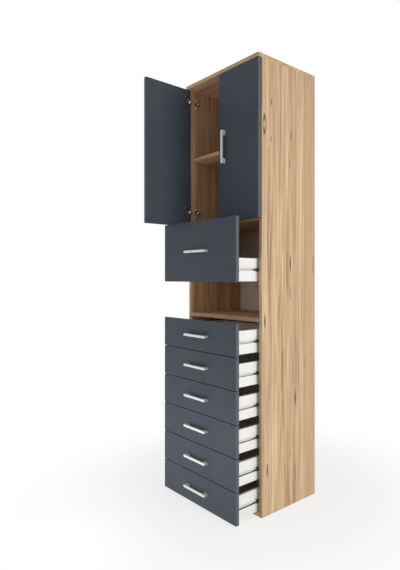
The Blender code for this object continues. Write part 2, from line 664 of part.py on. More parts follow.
def main():
    clear_scene()
    wood = make_material("oak_decor", (0.56, 0.40, 0.26), 0.5)
    board_white = make_material("back_board", (0.62, 0.58, 0.52), 0.6)
    front = make_material("anthracite_front", (0.062, 0.070, 0.084), 0.45)
    white = make_material("white_drawer", (0.82, 0.81, 0.79), 0.45)
    steel = make_material("coated_runner", (0.78, 0.78, 0.76), 0.4, 0.2)
    nickel = make_material("satin_nickel", (0.62, 0.60, 0.57), 0.32, 1.0)
    zinc = make_material("plated_steel", (0.60, 0.60, 0.59), 0.35, 1.0)
    dark_zinc = make_material("dark_plated_steel", (0.10, 0.10, 0.11), 0.35, 1.0)
    add_carcass(wood, board_white, zinc)
    for side in (LEFT, RIGHT):
        add_door(side, front, nickel, zinc, dark_zinc)
    box = drawer_box()
    add_drawer("big", BIG_FRONT_Z, BIG_FRONT_HEIGHT, box, front, white, nickel, steel)
    for number in range(1, SMALL_DRAWER_COUNT + 1):
        z = LOWEST_FRONT_Z + (SMALL_DRAWER_COUNT - number) * SMALL_PITCH
        add_drawer(str(number), z, SMALL_FRONT_HEIGHT, box, front, white, nickel, steel)


main()
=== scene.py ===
"""Tall cupboard: finishes, fine fittings, studio light and camera around the packed frame.

Metres, +Z up, the fronts face -Y. Every piece sits where the frame's own node sits.
"""

import json
from math import pi, radians

import bmesh
import bpy
from mathutils import Matrix, Vector


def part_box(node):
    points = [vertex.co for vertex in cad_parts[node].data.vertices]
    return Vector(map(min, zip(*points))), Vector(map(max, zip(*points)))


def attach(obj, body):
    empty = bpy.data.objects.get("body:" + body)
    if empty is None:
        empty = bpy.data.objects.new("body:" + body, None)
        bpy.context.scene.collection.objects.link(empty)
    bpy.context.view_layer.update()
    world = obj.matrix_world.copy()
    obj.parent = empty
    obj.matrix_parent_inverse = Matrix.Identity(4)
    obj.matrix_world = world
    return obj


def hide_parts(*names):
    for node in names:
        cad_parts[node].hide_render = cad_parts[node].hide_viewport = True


bl_info = {
    "name": "Tall cupboard",
    "version": (1, 0, 0),
    "blender": (4, 5, 0),
    "location": "3D View > Sidebar > Cupboard",
    "description": "Finishes, fine fittings, light and camera of a tall cupboard",
    "category": "Object",
}

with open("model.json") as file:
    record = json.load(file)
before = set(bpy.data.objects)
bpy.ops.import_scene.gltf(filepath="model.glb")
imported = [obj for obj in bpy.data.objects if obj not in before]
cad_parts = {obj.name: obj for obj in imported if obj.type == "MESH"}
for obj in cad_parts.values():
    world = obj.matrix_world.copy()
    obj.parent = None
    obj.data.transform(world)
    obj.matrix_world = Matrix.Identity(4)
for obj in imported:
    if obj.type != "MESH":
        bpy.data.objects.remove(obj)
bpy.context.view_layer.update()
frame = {"nodes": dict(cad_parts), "record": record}

DRAWERS = ("big", "1", "2", "3", "4", "5", "6")
SIDES = {"left": -1, "right": 1}
LEVELS = ("upper", "lower")
DOOR_TURN = {"left": -pi / 2, "right": 0.0}
JOINTS = {joint["name"]: joint for joint in frame["record"]["behaviour"]["joints"]}

# Knots and cracks of the decor on the right side panel: place in depth and height, half width, half length
# and darkness. The ring joins the two uppermost knots.
KNOTS = (
    (-0.1518, 1.5980, 0.0046, 0.020, 0.95),
    (-0.1528, 1.5425, 0.0046, 0.017, 0.95),
    (-0.1115, 1.6683, 0.0038, 0.018, 0.70),
    (-0.1120, 1.5170, 0.0034, 0.013, 0.60),
    (0.0066, 1.5533, 0.0036, 0.024, 0.60),
    (0.0003, 1.4327, 0.0034, 0.022, 0.55),
    (-0.1265, 1.4654, 0.0030, 0.014, 0.35),
    (0.0022, 1.0139, 0.0050, 0.040, 0.90),
    (0.1530, 1.0123, 0.0040, 0.050, 0.50),
    (0.0022, 0.8919, 0.0036, 0.042, 0.75),
    (-0.0660, 0.8318, 0.0022, 0.085, 0.55),
    (-0.1482, 0.7814, 0.0052, 0.032, 0.85),
    (0.0935, 0.5865, 0.0036, 0.034, 0.50),
    (-0.0484, 0.5746, 0.0024, 0.095, 0.75),
    (0.0339, 0.4457, 0.0048, 0.034, 0.95),
    (0.0022, 0.2146, 0.0026, 0.012, 0.60),
    (-0.1351, 0.1824, 0.0044, 0.033, 0.90),
    (0.0372, 0.1293, 0.0026, 0.050, 0.50),
)
KNOT_RING = (-0.1500, 1.5700, 0.0092, 0.036, 0.90)

# Between which distances from a knot's middle, in half widths, each of its parts fades.
HEART_FADE = (0.6, 1.35)
RING_OUTER_FADE = (1.0, 1.3)
RING_HOLLOW_FADE = (0.75, 1.0)
GRAIN_BEND_FADE = (0.6, 3.2)

# Only knots wider than this bend the grain, by this share of a place's distance from the knot.
BENDING_KNOT = 0.0045
GRAIN_BEND = -0.75

# Marks strewn over the other boards: width and length of a cell, reach in cells, share of cells with a mark.
STREWN_KNOTS = {"cell": (0.07, 0.42), "reach": 0.042, "share": 0.30}
STREWN_CRACKS = {"cell": (0.055, 1.10), "reach": 0.034, "share": 0.40}
CRACK_DARKNESS = 0.7

# The decor's tone takes this share of middle streaks over the broad ones, then this share of fibres.
MIDDLE_SHARE = 0.55
FIBRE_SHARE = 0.34
# Each strip's print starts elsewhere, up to this many streak lengths along.
STRIP_SLIDE = 7
# Depths inside a board between which the painted shade of its inner face, darker and redder, goes over to the
# outer one.
INNER_FACE_FADE = (0.0002, 0.0010)
# Where the decor's four colours sit in its tone, from the darkest to the palest.
OAK_STOPS = (0.37, 0.45, 0.515, 0.60)
# Between which of their random lots strips turn rosier or paler, and from how much to how much.
ROSY_STRIPS = (0.35, 1.0, 0.0, 0.75)
PALE_STRIPS = (0.45, 1.0, 0.0, 0.65)
# Size of the clouds in plain melamine, along X, Y and Z.
CLOUD_SIZE = (0.11, 0.11, 0.19)

# Faces at least this wide are flat ones and are shaded flat, the narrower ones of bends and bevels smooth.
FLAT_FROM = 0.005
SHARP_DEGREES = 32
WELD_DISTANCE = 0.000002
TOUCH_DISTANCE = 0.00001

# Bends of the runners' sheet steel: width in thicknesses, and segments
BEND_WIDTH = 1.1
BEND_STEPS = 3
# Faces whose normal has at least this much of Z are level.
LEVEL_FROM = 0.9
RAIL_SCREW_SHARES = (0.12, 0.32, 0.85)
# A ball cage clears its channel by the gap. Its balls stand out a little and start part of a pitch on.
CAGE_GAP = 0.0003
BALL_STANDOUT = 0.0004
BALL_START_SHARE = 0.6
# Screws of a hinge, from its pivot: into the cupboard, to the rear, and up or down
EAR_SCREW = (0.0185, 0.0119, 0.0243)
PLATE_SCREW = (0.0098, 0.0421, 0.016)
ARM_SCREW = (0.0137, 0.0421, 0.0)
PLATE_SCREW_SHARE = 0.9

# Soft boxes: place, width, the setting that holds their power, and where they point
LAMPS = {
    "key_lamp": ((3.6, 0.25, 1.35), 1.2, "key_power", (0, -0.1, 0.90)),
    "side_lamp": ((2.5, -0.15, 0.30), 1.2, "side_power", (0, -0.1, 0.40)),
    "low_lamp": ((-0.1, -1.0, 0.08), 0.4, "low_power", (0, -0.3, 0.15)),
    "front_lamp": ((0.2, -2.2, 0.80), 1.0, "front_power", (0, 0, 0.60)),
}
FLOOR_SIZE = 9.0
# The floor is this white at the first distance from the cupboard's middle, and all white at the second.
FLOOR_FADE = (0.35, 1.1)
FLOOR_WHITE_SHARE = 0.75


# Colour, nodes and materials

SMOOTH = {"interpolation_type": "SMOOTHSTEP"}
COLOUR = {"data_type": "RGBA"}


def linear(hex_code):
    """An sRGB colour such as #C9AA89, as linear red, green, blue and alpha."""
    channels = [int(hex_code[start:start + 2], 16) / 255 for start in (1, 3, 5)]
    return (*[c / 12.92 if c <= 0.04045 else ((c + 0.055) / 1.055) ** 2.4 for c in channels], 1.0)


def add_node(tree, kind, inputs=(), **settings):
    """Add a node: settings are its own values, inputs are values or the sockets or nodes that feed it.

    Inputs are listed from the first socket on, or named or numbered. A node feeds its first output.
    """
    made = tree.nodes.new("ShaderNode" + kind)
    for name, value in settings.items():
        setattr(made, name, value)
    for key, value in inputs.items() if isinstance(inputs, dict) else enumerate(inputs):
        if isinstance(value, bpy.types.Node):
            value = value.outputs[0]
        if isinstance(value, bpy.types.NodeSocket):
            tree.links.new(value, made.inputs[key])
        else:
            made.inputs[key].default_value = value
    return made


def new_material(name, values):
    """A material whose Principled BSDF has these values, with its tree and its shader."""
    material = bpy.data.materials.new(name)
    material.use_nodes = True
    shader = material.node_tree.nodes["Principled BSDF"]
    for socket, value in values.items():
        shader.inputs[socket].default_value = value
    material.diffuse_color = values.get("Base Color", material.diffuse_color)
    return material, material.node_tree, shader


def grain(tree, place, periods, detail):
    """A noise whose features are as long along each axis as the periods, in metres."""
    scale = [1 / period for period in periods]
    stretched = add_node(tree, "Mapping", {"Vector": place, "Scale": scale})
    return add_node(tree, "TexNoise", {"Vector": stretched, "Scale": 1.0, "Detail": detail})


def fine_skin(tree, shader, relief, strength, depth, patches, gloss):
    """Give a surface its fine relief, and a roughness that runs from patch to patch between two values."""
    bump = add_node(tree, "Bump", {"Strength": strength, "Distance": depth, "Height": relief})
    tree.links.new(bump.outputs[0], shader.inputs["Normal"])
    rough = add_node(tree, "MapRange", (patches, 0.3, 0.7, *gloss), **SMOOTH)
    tree.links.new(rough.outputs[0], shader.inputs["Roughness"])


def scattered_marks(tree, across, length, cell, reach, share):
    """Marks strewn over a board, one in each cell, of which only a share is kept, fading out at its reach."""
    place = add_node(tree, "CombineXYZ", (across, length))
    scale = (1 / cell[0], 1 / cell[1], 1.0)
    stretched = add_node(tree, "Mapping", {"Vector": place, "Scale": scale})
    cells = add_node(tree, "TexVoronoi", {"Vector": stretched, "Scale": 1.0}, voronoi_dimensions="2D")
    spot = add_node(tree, "MapRange", (cells.outputs["Distance"], 0.0, reach, 1.0, 0.0), **SMOOTH)
    lot = add_node(tree, "SeparateColor", (cells.outputs["Color"],))
    kept = add_node(tree, "Math", (lot, share), operation="LESS_THAN")
    return add_node(tree, "Math", (spot, kept), operation="MULTIPLY")


def oak_decor(name, along, look):
    """Oak decor: a printed paper pressed with melamine onto chipboard.

    The eye sees straight strips, some pale and some rosy, each with its own streaks and fibres, and a few
    dark knots and long thin cracks, under a matt skin.
    """
    material, tree, shader = new_material(name, {"Base Color": look.oak_tan, "Roughness": 0.52,
                                                 "Specular IOR Level": 0.35})
    strip, broad, streak, fibre = look.strip_width, look.broad_width, look.streak_width, look.fibre_width
    streak_length, wander = look.streak_length, look.strip_wander
    place = add_node(tree, "TexCoord").outputs["Object"]
    x, y, z = add_node(tree, "SeparateXYZ", (place,)).outputs
    across, through, length = (y, x, z) if along == "Z" else (y, z, x)
    laid = add_node(tree, "CombineXYZ", (across, through, length))
    slow = grain(tree, laid, (strip * 2, strip * 2, streak_length), 2.0)
    shift = add_node(tree, "MapRange", (slow, 0.25, 0.75, -wander, wander), **SMOOTH)
    across = add_node(tree, "Math", (across, shift), operation="ADD")
    marks = None
    if along == "Z":
        across, marks = placed_knots(tree, laid, across)

    band = add_node(tree, "Math", (across, 1 / strip), operation="MULTIPLY")
    strips = add_node(tree, "TexVoronoi", {"W": band, "Scale": 1.0}, voronoi_dimensions="1D")
    red_lot, green_lot, _ = add_node(tree, "SeparateColor", (strips.outputs["Color"],)).outputs
    slide = add_node(tree, "Math", (red_lot, streak_length * STRIP_SLIDE), operation="MULTIPLY")
    moved = add_node(tree, "Math", (length, slide), operation="ADD")
    print_place = add_node(tree, "CombineXYZ", (across, through, moved))

    broad_streaks = grain(tree, print_place, (broad, broad, streak_length), 2.0)
    middle_streaks = grain(tree, print_place, (streak, streak, streak_length / 2), 3.0)
    fibres = grain(tree, print_place, (fibre, fibre, look.fibre_length), 2.0)
    streaks = add_node(tree, "Mix", {0: MIDDLE_SHARE, 2: broad_streaks, 3: middle_streaks})
    tone = add_node(tree, "Mix", {0: FIBRE_SHARE, 2: streaks, 3: fibres})
    ramp = add_node(tree, "ValToRGB", (tone,))
    tints = (look.oak_brown, look.oak_rosy, look.oak_tan, look.oak_pale)
    while len(ramp.color_ramp.elements) < len(tints):
        ramp.color_ramp.elements.new(0.5)
    for element, position, tint in zip(ramp.color_ramp.elements, OAK_STOPS, tints):
        element.position = position
        element.color = tint
    rosy = add_node(tree, "MapRange", (red_lot, *ROSY_STRIPS), **SMOOTH)
    pale = add_node(tree, "MapRange", (green_lot, *PALE_STRIPS), **SMOOTH)
    tint = add_node(tree, "Mix", {0: rosy, 6: ramp, 7: look.oak_rosy}, **COLOUR).outputs[2]
    tint = add_node(tree, "Mix", {0: pale, 6: tint, 7: look.oak_pale}, **COLOUR).outputs[2]

    knots = scattered_marks(tree, across, length, **STREWN_KNOTS)
    cracks = scattered_marks(tree, across, length, **STREWN_CRACKS)
    fainter = add_node(tree, "Math", (cracks, CRACK_DARKNESS), operation="MULTIPLY")
    strewn = add_node(tree, "Math", (knots, fainter), operation="MAXIMUM")
    if marks is None:
        marks = strewn
    else:
        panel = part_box("side_panel_right")
        fade = INNER_FACE_FADE[1]
        elsewhere = add_node(tree, "MapRange", (x, panel[0].x + fade, panel[1].x - fade, 1.0, 0.0), **SMOOTH)
        others = add_node(tree, "Math", (strewn, elsewhere), operation="MULTIPLY")
        marks = add_node(tree, "Math", (marks, others), operation="MAXIMUM")
    tint = add_node(tree, "Mix", {0: marks, 6: tint, 7: look.oak_knot}, **COLOUR).outputs[2]
    # Painted shade: the faces inside the cupboard are multiplied darker and redder.
    inside = inside_shade_mask(tree, x, z)
    tint = add_node(tree, "Mix", {0: inside, 6: tint, 7: look.oak_inner_shade}, blend_type="MULTIPLY", **COLOUR)
    tree.links.new(tint.outputs[2], shader.inputs["Base Color"])

    pores = grain(tree, print_place, (fibre / 2, fibre / 2, look.fibre_length / 3), 1.0)
    fine_skin(tree, shader, pores, strength=0.35, depth=0.00012, patches=fibres, gloss=(0.58, 0.46))
    return material


def inside_shade_mask(tree, x, z):
    """1 on the boards' faces inside the cupboard, which get painted shade, darker and redder, 0 outside."""
    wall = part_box("side_panel_right")[0].x
    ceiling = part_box("top_panel")[0].z
    start, end = INNER_FACE_FADE
    away = add_node(tree, "Math", (x,), operation="ABSOLUTE")
    within = add_node(tree, "MapRange", (away, wall + start, wall + end, 1.0, 0.0), **SMOOTH)
    below = add_node(tree, "MapRange", (z, ceiling + start, ceiling + end, 1.0, 0.0), **SMOOTH)
    return add_node(tree, "Math", (within, below), operation="MULTIPLY")


def placed_knots(tree, place, across):
    """Bend the grain round the knots of the right side panel, and give the mask of its knots and cracks."""
    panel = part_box("side_panel_right")
    middle = (panel[0].x + panel[1].x) / 2
    mask = None
    for depth, height, half_width, half_length, darkness in (*KNOTS, KNOT_RING):
        centre = (depth, middle, height)
        spread = (1 / half_width, 1 / (panel[1].x - panel[0].x), 1 / half_length)
        offset = add_node(tree, "VectorMath", (place, centre), operation="SUBTRACT")
        unit = add_node(tree, "VectorMath", (offset, spread), operation="MULTIPLY")
        away = add_node(tree, "VectorMath", (unit,), operation="LENGTH").outputs["Value"]
        if (depth, height) == KNOT_RING[:2]:
            outer = add_node(tree, "MapRange", (away, *RING_OUTER_FADE, darkness, 0.0), **SMOOTH)
            hollow = add_node(tree, "MapRange", (away, *RING_HOLLOW_FADE, 0.0, 1.0), **SMOOTH)
            heart = add_node(tree, "Math", (outer, hollow), operation="MULTIPLY")
        else:
            heart = add_node(tree, "MapRange", (away, *HEART_FADE, darkness, 0.0), **SMOOTH)
        mask = heart if mask is None else add_node(tree, "Math", (mask, heart), operation="MAXIMUM")
        if half_width > BENDING_KNOT:
            swell = add_node(tree, "MapRange", (away, *GRAIN_BEND_FADE, GRAIN_BEND, 0.0), **SMOOTH)
            side = add_node(tree, "SeparateXYZ", (offset,))
            bend = add_node(tree, "Math", (side, swell), operation="MULTIPLY")
            across = add_node(tree, "Math", (across, bend), operation="ADD")
    return across, mask


def matt_melamine(name, tint, cloud_tint, roughness, pore, specular=0.4, edge=None):
    """Plain coloured melamine: a matt resin skin with a fine pressed texture and a barely uneven tone.

    An edge of (colour, axis) gives the plastic edge band, on all faces but the two that face along the axis;
    its paler colour is painted light, for the lamps on the edges.
    """
    material, tree, shader = new_material(name, {"Base Color": tint, "Roughness": roughness,
                                                 "Specular IOR Level": specular})
    coordinates = add_node(tree, "TexCoord").outputs
    place = coordinates["Object"]
    cloud = grain(tree, place, CLOUD_SIZE, 3.0)
    share = add_node(tree, "MapRange", (cloud, 0.35, 0.65, 0.0, 1.0), **SMOOTH)
    colour = add_node(tree, "Mix", {0: share, 6: tint, 7: cloud_tint}, **COLOUR).outputs[2]
    if edge:
        # The paler edge band is painted light: the edges stand lit against the darker faces.
        lit_band_tint, axis = edge
        facing = add_node(tree, "SeparateXYZ", (coordinates["Normal"],)).outputs["XYZ".index(axis)]
        flat = add_node(tree, "Math", (facing,), operation="ABSOLUTE")
        band = add_node(tree, "MapRange", (flat, 0.25, 0.55, 1.0, 0.0), **SMOOTH)
        colour = add_node(tree, "Mix", {0: band, 6: colour, 7: lit_band_tint}, **COLOUR).outputs[2]
    tree.links.new(colour, shader.inputs["Base Color"])
    grit = grain(tree, place, (pore, pore, pore * 2), 2.0)
    fine_skin(tree, shader, grit, strength=0.25, depth=0.00008, patches=grit,
              gloss=(roughness - 0.04, roughness + 0.04))
    return material


def brushed_metal(name, tint, dark_tint, roughness, brush, metallic=1.0):
    """Plated metal brushed before plating: hair lines, each a little brighter or duller than the next.

    A satin coat scatters part of the light, which a metallic share below 1 stands for.
    """
    material, tree, shader = new_material(name, {"Base Color": tint, "Metallic": metallic,
                                                 "Roughness": roughness})
    place = add_node(tree, "TexCoord").outputs["Object"]
    lines = grain(tree, place, brush, 3.0)
    share = add_node(tree, "MapRange", (lines, 0.35, 0.7, 0.0, 1.0), **SMOOTH)
    colour = add_node(tree, "Mix", {0: share, 6: tint, 7: dark_tint}, **COLOUR)
    tree.links.new(colour.outputs[2], shader.inputs["Base Color"])
    fine_skin(tree, shader, lines, strength=0.2, depth=0.00005, patches=lines,
              gloss=(roughness - 0.06, roughness + 0.08))
    return material


def coated_steel(name, tint, roughness, peel):
    """Epoxy-coated steel strip: a pale even coat with a slight orange peel."""
    material, tree, shader = new_material(name, {"Base Color": tint, "Roughness": roughness,
                                                 "Coat Weight": 0.15, "Coat Roughness": 0.3})
    place = add_node(tree, "TexCoord").outputs["Object"]
    waves = grain(tree, place, (peel, peel, peel), 1.0)
    fine_skin(tree, shader, waves, strength=0.2, depth=0.00006, patches=waves,
              gloss=(roughness - 0.05, roughness + 0.05))
    return material


def finish(name):
    """A finish by its name, made once from the colours and sizes in the sidebar."""
    if name in bpy.data.materials:
        return bpy.data.materials[name]
    look = bpy.context.scene.cupboard_look
    pore, hair, blots = look.pore_size, look.hair_width, (look.plating_blot,) * 3
    if name.startswith("oak_decor"):
        return oak_decor(name, "Z" if name.endswith("upright") else "X", look)
    if name.startswith("anthracite_melamine"):
        return matt_melamine(name, look.front_tint, look.front_cloud, roughness=0.50, pore=pore,
                             specular=0.22, edge=(look.lit_edge_band, name[-1].upper()))
    if name == "white_melamine":
        return matt_melamine(name, look.drawer_white, look.drawer_white_cloud, roughness=0.42, pore=pore)
    if name == "lacquered_hardboard":
        return matt_melamine(name, look.back_tint, look.back_cloud, roughness=0.62, pore=pore * 2)
    if name == "black_acetal":
        return matt_melamine(name, look.cage_tint, look.cage_cloud, roughness=0.45, pore=pore / 2)
    if name.startswith("satin_nickel"):
        upright = name.endswith("upright")
        brush = (hair, hair, look.hair_length) if upright else (look.hair_length, hair, hair)
        return brushed_metal(name, look.nickel, look.nickel_dark, roughness=0.42, brush=brush, metallic=0.4)
    if name == "nickel_plated_steel":
        return brushed_metal(name, look.plated, look.plated_dark, roughness=0.30, brush=blots)
    # Painted shade: a dark steel for the shaded hinge cups and the rails' shadow lines.
    if name == "dark_plated_steel":
        return brushed_metal(name, look.dark_plated, look.painted_shade_blot, roughness=0.36, brush=blots)
    if name == "bronzed_steel":
        return brushed_metal(name, look.bronzed, look.bronzed_shade, roughness=0.40, brush=blots)
    if name == "coated_steel":
        return coated_steel(name, look.runner_tint, roughness=0.38, peel=look.orange_peel)
    raise RuntimeError(f"no finish is named {name}")


# Shapes

def piece_from(bm, name, finishes, body, replaced=()):
    """Make a bmesh an object of the scene, which rides on a body and may stand for nodes."""
    bmesh.ops.remove_doubles(bm, verts=bm.verts, dist=WELD_DISTANCE)
    bmesh.ops.recalc_face_normals(bm, faces=bm.faces)
    narrow = [face.calc_area() / max(edge.calc_length() for edge in face.edges) < FLAT_FROM
              for face in bm.faces]
    mesh = bpy.data.meshes.new(name)
    bm.to_mesh(mesh)
    bm.free()
    mesh.set_sharp_from_angle(angle=radians(SHARP_DEGREES))
    mesh.polygons.foreach_set("use_smooth", narrow)
    for finish_name in finishes:
        mesh.materials.append(finish(finish_name))
    piece = bpy.data.objects.new(name, mesh)
    bpy.context.scene.collection.objects.link(piece)
    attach(piece, body)
    if replaced:
        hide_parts(*replaced)
    return piece


def join_in(bm, part, matrix=Matrix.Identity(4), material_index=0):
    """Add a finished part to a larger mesh, moved by a matrix, and free it."""
    for face in part.faces:
        face.material_index = material_index
    bmesh.ops.transform(part, matrix=matrix, verts=part.verts)
    if matrix.determinant() < 0:
        bmesh.ops.reverse_faces(part, faces=part.faces)
    holder = bpy.data.meshes.new("part")
    part.to_mesh(holder)
    part.free()
    bm.from_mesh(holder)
    bpy.data.meshes.remove(holder)


def bevel_edges(bm, edges, width, steps):
    bmesh.ops.bevel(bm, geom=edges, offset=width, segments=steps, profile=0.5, affect="EDGES", material=-1)


def board(low, high, round_width, steps=3):
    """A board between two corners with rounded edges."""
    low, high = Vector(low), Vector(high)
    part = bmesh.new()
    bmesh.ops.create_cube(part, size=1.0)
    bmesh.ops.scale(part, vec=high - low, verts=part.verts)
    bmesh.ops.translate(part, vec=(low + high) / 2, verts=part.verts)
    bevel_edges(part, part.edges[:], round_width, steps)
    return part


def slab(outline, x0, x1, round_width):
    """A flat piece with its outline given as (y, z), between two places on X, with rounded edges."""
    part = bmesh.new()
    face = part.faces.new([part.verts.new((x0, y, z)) for y, z in outline])
    pushed = bmesh.ops.extrude_face_region(part, geom=[face])["geom"]
    bmesh.ops.translate(part, vec=(x1 - x0, 0, 0),
                        verts=[item for item in pushed if isinstance(item, bmesh.types.BMVert)])
    bmesh.ops.recalc_face_normals(part, faces=part.faces)
    bevel_edges(part, part.edges[:], round_width, steps=2)
    return part


def folded_strip(corners, start, end, steel):
    """Sheet steel folded along its corners, given as (x, z), and run along Y, its outer face on them."""
    part = bmesh.new()
    verts = [part.verts.new((x, start, z)) for x, z in corners]
    line = [part.edges.new(pair) for pair in zip(verts, verts[1:])]
    pushed = bmesh.ops.extrude_edge_only(part, edges=line)["geom"]
    bmesh.ops.translate(part, vec=(0, end - start, 0),
                        verts=[item for item in pushed if isinstance(item, bmesh.types.BMVert)])
    folds = [edge for edge in part.edges if len(edge.link_faces) == 2]
    bevel_edges(part, folds, steel * BEND_WIDTH, BEND_STEPS)
    bmesh.ops.recalc_face_normals(part, faces=part.faces)
    middle = sum((Vector((x, 0, z)) for x, z in corners), Vector()) / len(corners)
    widest = max(part.faces, key=lambda face: face.calc_area())
    outwards = widest.calc_center_median() - middle
    outwards.y = 0
    if widest.normal.dot(outwards) < 0:
        bmesh.ops.reverse_faces(part, faces=part.faces)
    bmesh.ops.solidify(part, geom=part.faces[:], thickness=steel)
    return part


def screw_head(radius, height, arm=0.15, reach=0.52, recess=0.7, rounding=0.45):
    """A pan head with a cross recess, its seat at z = 0, its axis along Z.

    The cross has arms of half the width arm out to reach, in radii. Recess and rounding are in heights.
    """
    part = bmesh.new()
    bmesh.ops.create_grid(part, x_segments=5, y_segments=5, size=1.0)
    lines = sorted({round(vert.co.x, 4) for vert in part.verts})
    places = dict(zip(lines, (-1.0, -reach, -arm, arm, reach, 1.0)))
    rim = [vert for vert in part.verts if vert.is_boundary]
    for vert in part.verts:
        vert.co = Vector((places[round(vert.co.x, 4)], places[round(vert.co.y, 4)], 0.0)) * radius
    for vert in rim:
        vert.co = vert.co.normalized() * radius
    for vert in part.verts:
        vert.co.z = height
    cross = [face for face in part.faces
             if min(abs(face.calc_center_median().x), abs(face.calc_center_median().y)) < radius * arm
             and face.calc_center_median().to_2d().length < radius * reach]
    sunk = bmesh.ops.extrude_face_region(part, geom=cross)["geom"]
    bmesh.ops.delete(part, geom=cross, context="FACES")
    floor = [item for item in sunk if isinstance(item, bmesh.types.BMVert)]
    bmesh.ops.translate(part, vec=(0, 0, -height * recess), verts=floor)
    edge_loop = [edge for edge in part.edges if edge.is_boundary]
    skirt = bmesh.ops.extrude_edge_only(part, edges=edge_loop)["geom"]
    lower = [item for item in skirt if isinstance(item, bmesh.types.BMVert)]
    for vert in lower:
        vert.co.z = 0.0
    bottom = [edge for edge in part.edges if edge.is_boundary]
    bmesh.ops.contextual_create(part, geom=bottom)
    bevel_edges(part, edge_loop, height * rounding, steps=3)
    return part


def smooth_copy(node, name, finish_name, body, screws=()):
    """A merged copy of a node with its screws in the same finish, which stands for the node."""
    source = frame["nodes"][node]
    bm = bmesh.new()
    bm.from_mesh(source.data)
    bmesh.ops.remove_doubles(bm, verts=bm.verts, dist=WELD_DISTANCE)
    for face in bm.faces:
        face.material_index = 0
    for part, matrix in screws:
        join_in(bm, part, matrix)
    return piece_from(bm, name, [finish_name], body, (node,))


def bow_handle(sizes):
    """A bow handle about its own middle: bar along X, feet towards +Y, height along Z."""
    half = sizes.length / 2
    foot = half - sizes.foot_length
    depth = sizes.projection
    part = bmesh.new()
    corners = [(-half, 0), (half, 0), (half, depth), (foot, depth), (foot, sizes.bar_depth),
               (-foot, sizes.bar_depth), (-foot, depth), (-half, depth)]
    verts = [part.verts.new((x, y - depth / 2, -sizes.bar_height / 2)) for x, y in corners]
    outline = part.faces.new(verts)
    pushed = bmesh.ops.extrude_face_region(part, geom=[outline])["geom"]
    bmesh.ops.translate(part, vec=(0, 0, sizes.bar_height),
                        verts=[item for item in pushed if isinstance(item, bmesh.types.BMVert)])
    bmesh.ops.recalc_face_normals(part, faces=part.faces)

    def upright(x, y):
        return [edge for edge in part.edges
                if all(abs(abs(vert.co.x) - x) < TOUCH_DISTANCE
                       and abs(vert.co.y - y + depth / 2) < TOUCH_DISTANCE for vert in edge.verts)
                and abs(edge.verts[0].co.z - edge.verts[1].co.z) > TOUCH_DISTANCE]

    bevel_edges(part, upright(half, 0), sizes.outer_radius, steps=6)
    bevel_edges(part, upright(foot, sizes.bar_depth), sizes.inner_radius, steps=8)
    seat = depth / 2 - TOUCH_DISTANCE
    rims = [edge for edge in part.edges
            if abs(edge.verts[0].co.z - edge.verts[1].co.z) < TOUCH_DISTANCE
            and min(vert.co.y for vert in edge.verts) < seat]
    bevel_edges(part, rims, sizes.edge_round, steps=3)
    return part


# Sizes and colours that a user may change

def length_property(label, note, default):
    return bpy.props.FloatProperty(name=label, description=note, default=default, min=0.00001, precision=4,
                                   unit="LENGTH", subtype="DISTANCE")


def colour_property(label, note, hex_code):
    return bpy.props.FloatVectorProperty(name=label, description=note, default=linear(hex_code), size=4,
                                         min=0.0, max=1.0, subtype="COLOR")


